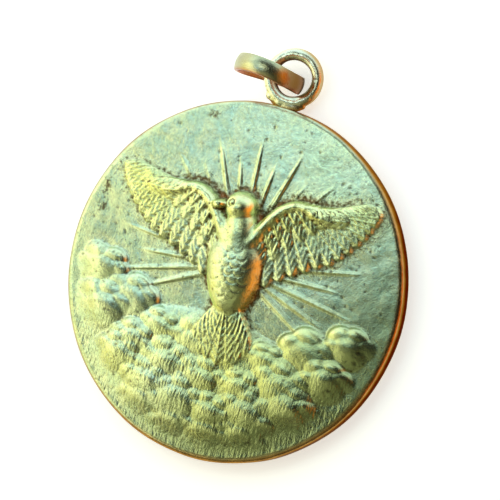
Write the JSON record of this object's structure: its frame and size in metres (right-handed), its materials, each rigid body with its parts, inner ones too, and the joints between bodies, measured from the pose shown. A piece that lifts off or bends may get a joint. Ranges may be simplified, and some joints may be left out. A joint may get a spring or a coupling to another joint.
{
  "type": "religious medal pendant",
  "caption": "Round gilt devotional medal with a dove over clouds in relief, a soldered ear and a loose flat-band jump ring, worn on a chain or cord.",
  "frame": {"origin": "centre of the medal's flat back face", "axes": "+Z out of the front of the medal, +Y from its centre towards the ear, +X to the right as the front is seen"},
  "size_m": [0.022, 0.0256, 0.0044],
  "materials": {
    "gilt_medal": "struck and gilt, worn bright on the high points, warm brown patina in the recesses",
    "gilt_ring": "drawn flat wire, gilt, darkened by wear with a coppery lower side"
  },
  "bodies": {
    "root": {"medal": "gilt_medal", "jump_ring": "gilt_ring"}
  },
  "joints": []
}
